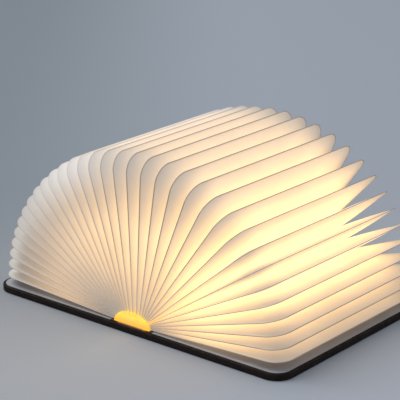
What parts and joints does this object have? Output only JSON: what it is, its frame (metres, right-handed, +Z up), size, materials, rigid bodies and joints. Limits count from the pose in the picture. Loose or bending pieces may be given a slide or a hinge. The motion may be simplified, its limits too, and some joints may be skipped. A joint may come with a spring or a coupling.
{
  "type": "folding book lamp",
  "caption": "Book-shaped lamp whose hard covers open flat and spread an accordion of paper leaves into a half-round glowing fan over a rechargeable light bar in the spine.",
  "frame": {"origin": "centre of the underside, on the table below the middle of the spine", "axes": "+X across the covers towards the right cover, +Y along the spine towards the charging socket, +Z up; the lamp lies open at 180 degrees"},
  "size_m": [0.18, 0.122, 0.0869],
  "materials": {
    "case_leatherette": "satin",
    "greyboard": "matte",
    "lining_paper": "matte",
    "leaf_paper": "matte",
    "collar_paper": "matte",
    "magnet_steel": "satin",
    "tray_plastic": "matte",
    "screw_steel": "satin",
    "battery_foil": "satin",
    "circuit_green": "satin",
    "socket_steel": "satin",
    "pipe_clear": "gloss",
    "reed_glass": "gloss",
    "led_board_white": "matte",
    "led_phosphor": "satin",
    "diffuser_amber": "satin"
  },
  "bodies": {
    "spine": {"spine_board": "greyboard", "spine_wrap": "case_leatherette", "right_hinge_strips": "case_leatherette", "left_hinge_strips": "case_leatherette", "light_tray": "tray_plastic", "tray_screws": "screw_steel", "battery": "battery_foil", "control_board": "circuit_green", "usb_socket": "socket_steel", "charge_light_pipe": "pipe_clear", "reed_switch": "reed_glass", "led_board": "led_board_white", "led_chips": "led_phosphor", "diffuser": "diffuser_amber", "root_collars": "collar_paper", "right_pleats": "leaf_paper", "left_pleats": "leaf_paper"},
    "right_cover": {"right_cover_board": "greyboard", "right_cover_wrap": "case_leatherette", "right_lining": "lining_paper", "right_magnets": "magnet_steel", "trigger_magnet": "magnet_steel"},
    "left_cover": {"left_cover_board": "greyboard", "left_cover_wrap": "case_leatherette", "left_lining": "lining_paper", "left_magnets": "magnet_steel"},
    "leaf_01": {"leaf_01": "leaf_paper"},
    "leaf_02": {"leaf_02": "leaf_paper"},
    "leaf_03": {"leaf_03": "leaf_paper"},
    "leaf_04": {"leaf_04": "leaf_paper"},
    "leaf_05": {"leaf_05": "leaf_paper"},
    "leaf_06": {"leaf_06": "leaf_paper"},
    "leaf_07": {"leaf_07": "leaf_paper"},
    "leaf_08": {"leaf_08": "leaf_paper"},
    "leaf_09": {"leaf_09": "leaf_paper"},
    "leaf_10": {"leaf_10": "leaf_paper"},
    "leaf_11": {"leaf_11": "leaf_paper"},
    "leaf_12": {"leaf_12": "leaf_paper"},
    "leaf_13": {"leaf_13": "leaf_paper"},
    "leaf_14": {"leaf_14": "leaf_paper"},
    "leaf_15": {"leaf_15": "leaf_paper"},
    "leaf_16": {"leaf_16": "leaf_paper"},
    "leaf_17": {"leaf_17": "leaf_paper"},
    "leaf_18": {"leaf_18": "leaf_paper"},
    "leaf_19": {"leaf_19": "leaf_paper"},
    "leaf_20": {"leaf_20": "leaf_paper"},
    "leaf_21": {"leaf_21": "leaf_paper"},
    "leaf_22": {"leaf_22": "leaf_paper"},
    "leaf_23": {"leaf_23": "leaf_paper"},
    "leaf_24": {"leaf_24": "leaf_paper"},
    "leaf_25": {"leaf_25": "leaf_paper"},
    "leaf_26": {"leaf_26": "leaf_paper"},
    "leaf_27": {"leaf_27": "leaf_paper"},
    "leaf_28": {"leaf_28": "leaf_paper"},
    "leaf_29": {"leaf_29": "leaf_paper"},
    "leaf_30": {"leaf_30": "leaf_paper"},
    "leaf_31": {"leaf_31": "leaf_paper"},
    "leaf_32": {"leaf_32": "leaf_paper"},
    "leaf_33": {"leaf_33": "leaf_paper"}
  },
  "joints": [
    {"name": "right_cover_hinge", "type": "hinge", "parent": "spine", "child": "right_cover", "pos_m": [0.0112, 0, 0.0032], "axis": [0, -1, 0], "range_deg": [0, 90], "deforming": ["right_pleats", "right_hinge_strips", "root_collars"]},
    {"name": "left_cover_hinge", "type": "hinge", "parent": "spine", "child": "left_cover", "pos_m": [-0.0112, 0, 0.0032], "axis": [0, 1, 0], "range_deg": [0, 90], "deforming": ["left_pleats", "left_hinge_strips"]},
    {"name": "leaf_01_fold", "type": "hinge", "parent": "spine", "child": "leaf_01", "pos_m": [0.01085, 0, 0.00389], "axis": [0, -1, 0], "range_deg": [0, 87.39]},
    {"name": "leaf_02_fold", "type": "hinge", "parent": "spine", "child": "leaf_02", "pos_m": [0.0107, 0, 0.00377], "axis": [0, -1, 0], "range_deg": [0, 82.97]},
    {"name": "leaf_03_fold", "type": "hinge", "parent": "spine", "child": "leaf_03", "pos_m": [0.01057, 0, 0.00363], "axis": [0, -1, 0], "range_deg": [0, 78.41]},
    {"name": "leaf_04_fold", "type": "hinge", "parent": "spine", "child": "leaf_04", "pos_m": [0.01045, 0, 0.00345], "axis": [0, -1, 0], "range_deg": [0, 73.57]},
    {"name": "leaf_05_fold", "type": "hinge", "parent": "spine", "child": "leaf_05", "pos_m": [0.01037, 0, 0.00323], "axis": [0, -1, 0], "range_deg": [0, 68.35]},
    {"name": "leaf_06_fold", "type": "hinge", "parent": "spine", "child": "leaf_06", "pos_m": [0.01034, 0, 0.00295], "axis": [0, -1, 0], "range_deg": [0, 62.7]},
    {"name": "leaf_07_fold", "type": "hinge", "parent": "spine", "child": "leaf_07", "pos_m": [0.01039, 0, 0.00259], "axis": [0, -1, 0], "range_deg": [0, 56.59]},
    {"name": "leaf_08_fold", "type": "hinge", "parent": "spine", "child": "leaf_08", "pos_m": [0.01058, 0, 0.0021], "axis": [0, -1, 0], "range_deg": [0, 50.08]},
    {"name": "leaf_09_fold", "type": "hinge", "parent": "spine", "child": "leaf_09", "pos_m": [0.01099, 0, 0.00143], "axis": [0, -1, 0], "range_deg": [0, 43.23]},
    {"name": "leaf_10_fold", "type": "hinge", "parent": "spine", "child": "leaf_10", "pos_m": [0.01176, 0, 0.00049], "axis": [0, -1, 0], "range_deg": [0, 36.16]},
    {"name": "leaf_11_fold", "type": "hinge", "parent": "spine", "child": "leaf_11", "pos_m": [0.01316, 0, -0.00084], "axis": [0, -1, 0], "range_deg": [0, 29]},
    {"name": "leaf_12_fold", "type": "hinge", "parent": "spine", "child": "leaf_12", "pos_m": [0.01581, 0, -0.00277], "axis": [0, -1, 0], "range_deg": [0, 21.92]},
    {"name": "leaf_13_fold", "type": "hinge", "parent": "spine", "child": "leaf_13", "pos_m": [0.02132, 0, -0.00557], "axis": [0, -1, 0], "range_deg": [0, 15.1]},
    {"name": "leaf_14_fold", "type": "hinge", "parent": "spine", "child": "leaf_14", "pos_m": [0.03538, 0, -0.00956], "axis": [0, -1, 0], "range_deg": [0, 8.73]},
    {"name": "leaf_15_fold", "type": "hinge", "parent": "spine", "child": "leaf_15", "pos_m": [0.10373, 0, -0.01748], "axis": [0, -1, 0], "range_deg": [0, 2.96]},
    {"name": "leaf_16_fold", "type": "hinge", "parent": "spine", "child": "leaf_16", "pos_m": [-0.13051, 0, -0.00014], "axis": [0, 1, 0], "range_deg": [0, 2.37]},
    {"name": "leaf_17_fold", "type": "hinge", "parent": "spine", "child": "leaf_17", "pos_m": [-0.0413, 0, -0.0059], "axis": [0, 1, 0], "range_deg": [0, 7.55]},
    {"name": "leaf_18_fold", "type": "hinge", "parent": "spine", "child": "leaf_18", "pos_m": [-0.02484, 0, -0.005], "axis": [0, 1, 0], "range_deg": [0, 12.82]},
    {"name": "leaf_19_fold", "type": "hinge", "parent": "spine", "child": "leaf_19", "pos_m": [-0.01819, 0, -0.00336], "axis": [0, 1, 0], "range_deg": [0, 18.2]},
    {"name": "leaf_20_fold", "type": "hinge", "parent": "spine", "child": "leaf_20", "pos_m": [-0.01481, 0, -0.00186], "axis": [0, 1, 0], "range_deg": [0, 23.63]},
    {"name": "leaf_21_fold", "type": "hinge", "parent": "spine", "child": "leaf_21", "pos_m": [-0.01289, 0, -0.00065], "axis": [0, 1, 0], "range_deg": [0, 29.05]},
    {"name": "leaf_22_fold", "type": "hinge", "parent": "spine", "child": "leaf_22", "pos_m": [-0.01174, 0, 0.0003], "axis": [0, 1, 0], "range_deg": [0, 34.45]},
    {"name": "leaf_23_fold", "type": "hinge", "parent": "spine", "child": "leaf_23", "pos_m": [-0.01103, 0, 0.00104], "axis": [0, 1, 0], "range_deg": [0, 39.81]},
    {"name": "leaf_24_fold", "type": "hinge", "parent": "spine", "child": "leaf_24", "pos_m": [-0.0106, 0, 0.00163], "axis": [0, 1, 0], "range_deg": [0, 45.13]},
    {"name": "leaf_25_fold", "type": "hinge", "parent": "spine", "child": "leaf_25", "pos_m": [-0.01036, 0, 0.0021], "axis": [0, 1, 0], "range_deg": [0, 50.37]},
    {"name": "leaf_26_fold", "type": "hinge", "parent": "spine", "child": "leaf_26", "pos_m": [-0.01024, 0, 0.00249], "axis": [0, 1, 0], "range_deg": [0, 55.51]},
    {"name": "leaf_27_fold", "type": "hinge", "parent": "spine", "child": "leaf_27", "pos_m": [-0.01021, 0, 0.0028], "axis": [0, 1, 0], "range_deg": [0, 60.52]},
    {"name": "leaf_28_fold", "type": "hinge", "parent": "spine", "child": "leaf_28", "pos_m": [-0.01025, 0, 0.00307], "axis": [0, 1, 0], "range_deg": [0, 65.36]},
    {"name": "leaf_29_fold", "type": "hinge", "parent": "spine", "child": "leaf_29", "pos_m": [-0.01033, 0, 0.00329], "axis": [0, 1, 0], "range_deg": [0, 70.03]},
    {"name": "leaf_30_fold", "type": "hinge", "parent": "spine", "child": "leaf_30", "pos_m": [-0.01044, 0, 0.00347], "axis": [0, 1, 0], "range_deg": [0, 74.52]},
    {"name": "leaf_31_fold", "type": "hinge", "parent": "spine", "child": "leaf_31", "pos_m": [-0.01056, 0, 0.00363], "axis": [0, 1, 0], "range_deg": [0, 78.86]},
    {"name": "leaf_32_fold", "type": "hinge", "parent": "spine", "child": "leaf_32", "pos_m": [-0.0107, 0, 0.00377], "axis": [0, 1, 0], "range_deg": [0, 83.1]},
    {"name": "leaf_33_fold", "type": "hinge", "parent": "spine", "child": "leaf_33", "pos_m": [-0.01085, 0, 0.00389], "axis": [0, 1, 0], "range_deg": [0, 87.27]}
  ],
  "couplings": [
    {"joint": "leaf_01_fold", "follows": "right_cover_hinge", "ratio": 0.97084},
    {"joint": "leaf_02_fold", "follows": "right_cover_hinge", "ratio": 0.92178},
    {"joint": "leaf_03_fold", "follows": "right_cover_hinge", "ratio": 0.87111},
    {"joint": "leaf_04_fold", "follows": "right_cover_hinge", "ratio": 0.81735},
    {"joint": "leaf_05_fold", "follows": "right_cover_hinge", "ratio": 0.75937},
    {"joint": "leaf_06_fold", "follows": "right_cover_hinge", "ratio": 0.69653},
    {"joint": "leaf_07_fold", "follows": "right_cover_hinge", "ratio": 0.62869},
    {"joint": "leaf_08_fold", "follows": "right_cover_hinge", "ratio": 0.55629},
    {"joint": "leaf_09_fold", "follows": "right_cover_hinge", "ratio": 0.48018},
    {"joint": "leaf_10_fold", "follows": "right_cover_hinge", "ratio": 0.40161},
    {"joint": "leaf_11_fold", "follows": "right_cover_hinge", "ratio": 0.32211},
    {"joint": "leaf_12_fold", "follows": "right_cover_hinge", "ratio": 0.24342},
    {"joint": "leaf_13_fold", "follows": "right_cover_hinge", "ratio": 0.16761},
    {"joint": "leaf_14_fold", "follows": "right_cover_hinge", "ratio": 0.096917},
    {"joint": "leaf_15_fold", "follows": "right_cover_hinge", "ratio": 0.032767},
    {"joint": "leaf_16_fold", "follows": "left_cover_hinge", "ratio": 0.026217},
    {"joint": "leaf_17_fold", "follows": "left_cover_hinge", "ratio": 0.083776},
    {"joint": "leaf_18_fold", "follows": "left_cover_hinge", "ratio": 0.14238},
    {"joint": "leaf_19_fold", "follows": "left_cover_hinge", "ratio": 0.20215},
    {"joint": "leaf_20_fold", "follows": "left_cover_hinge", "ratio": 0.26239},
    {"joint": "leaf_21_fold", "follows": "left_cover_hinge", "ratio": 0.32263},
    {"joint": "leaf_22_fold", "follows": "left_cover_hinge", "ratio": 0.38263},
    {"joint": "leaf_23_fold", "follows": "left_cover_hinge", "ratio": 0.44226},
    {"joint": "leaf_24_fold", "follows": "left_cover_hinge", "ratio": 0.50133},
    {"joint": "leaf_25_fold", "follows": "left_cover_hinge", "ratio": 0.55959},
    {"joint": "leaf_26_fold", "follows": "left_cover_hinge", "ratio": 0.61669},
    {"joint": "leaf_27_fold", "follows": "left_cover_hinge", "ratio": 0.67229},
    {"joint": "leaf_28_fold", "follows": "left_cover_hinge", "ratio": 0.7261},
    {"joint": "leaf_29_fold", "follows": "left_cover_hinge", "ratio": 0.77795},
    {"joint": "leaf_30_fold", "follows": "left_cover_hinge", "ratio": 0.82789},
    {"joint": "leaf_31_fold", "follows": "left_cover_hinge", "ratio": 0.87614},
    {"joint": "leaf_32_fold", "follows": "left_cover_hinge", "ratio": 0.92317},
    {"joint": "leaf_33_fold", "follows": "left_cover_hinge", "ratio": 0.96957}
  ]
}
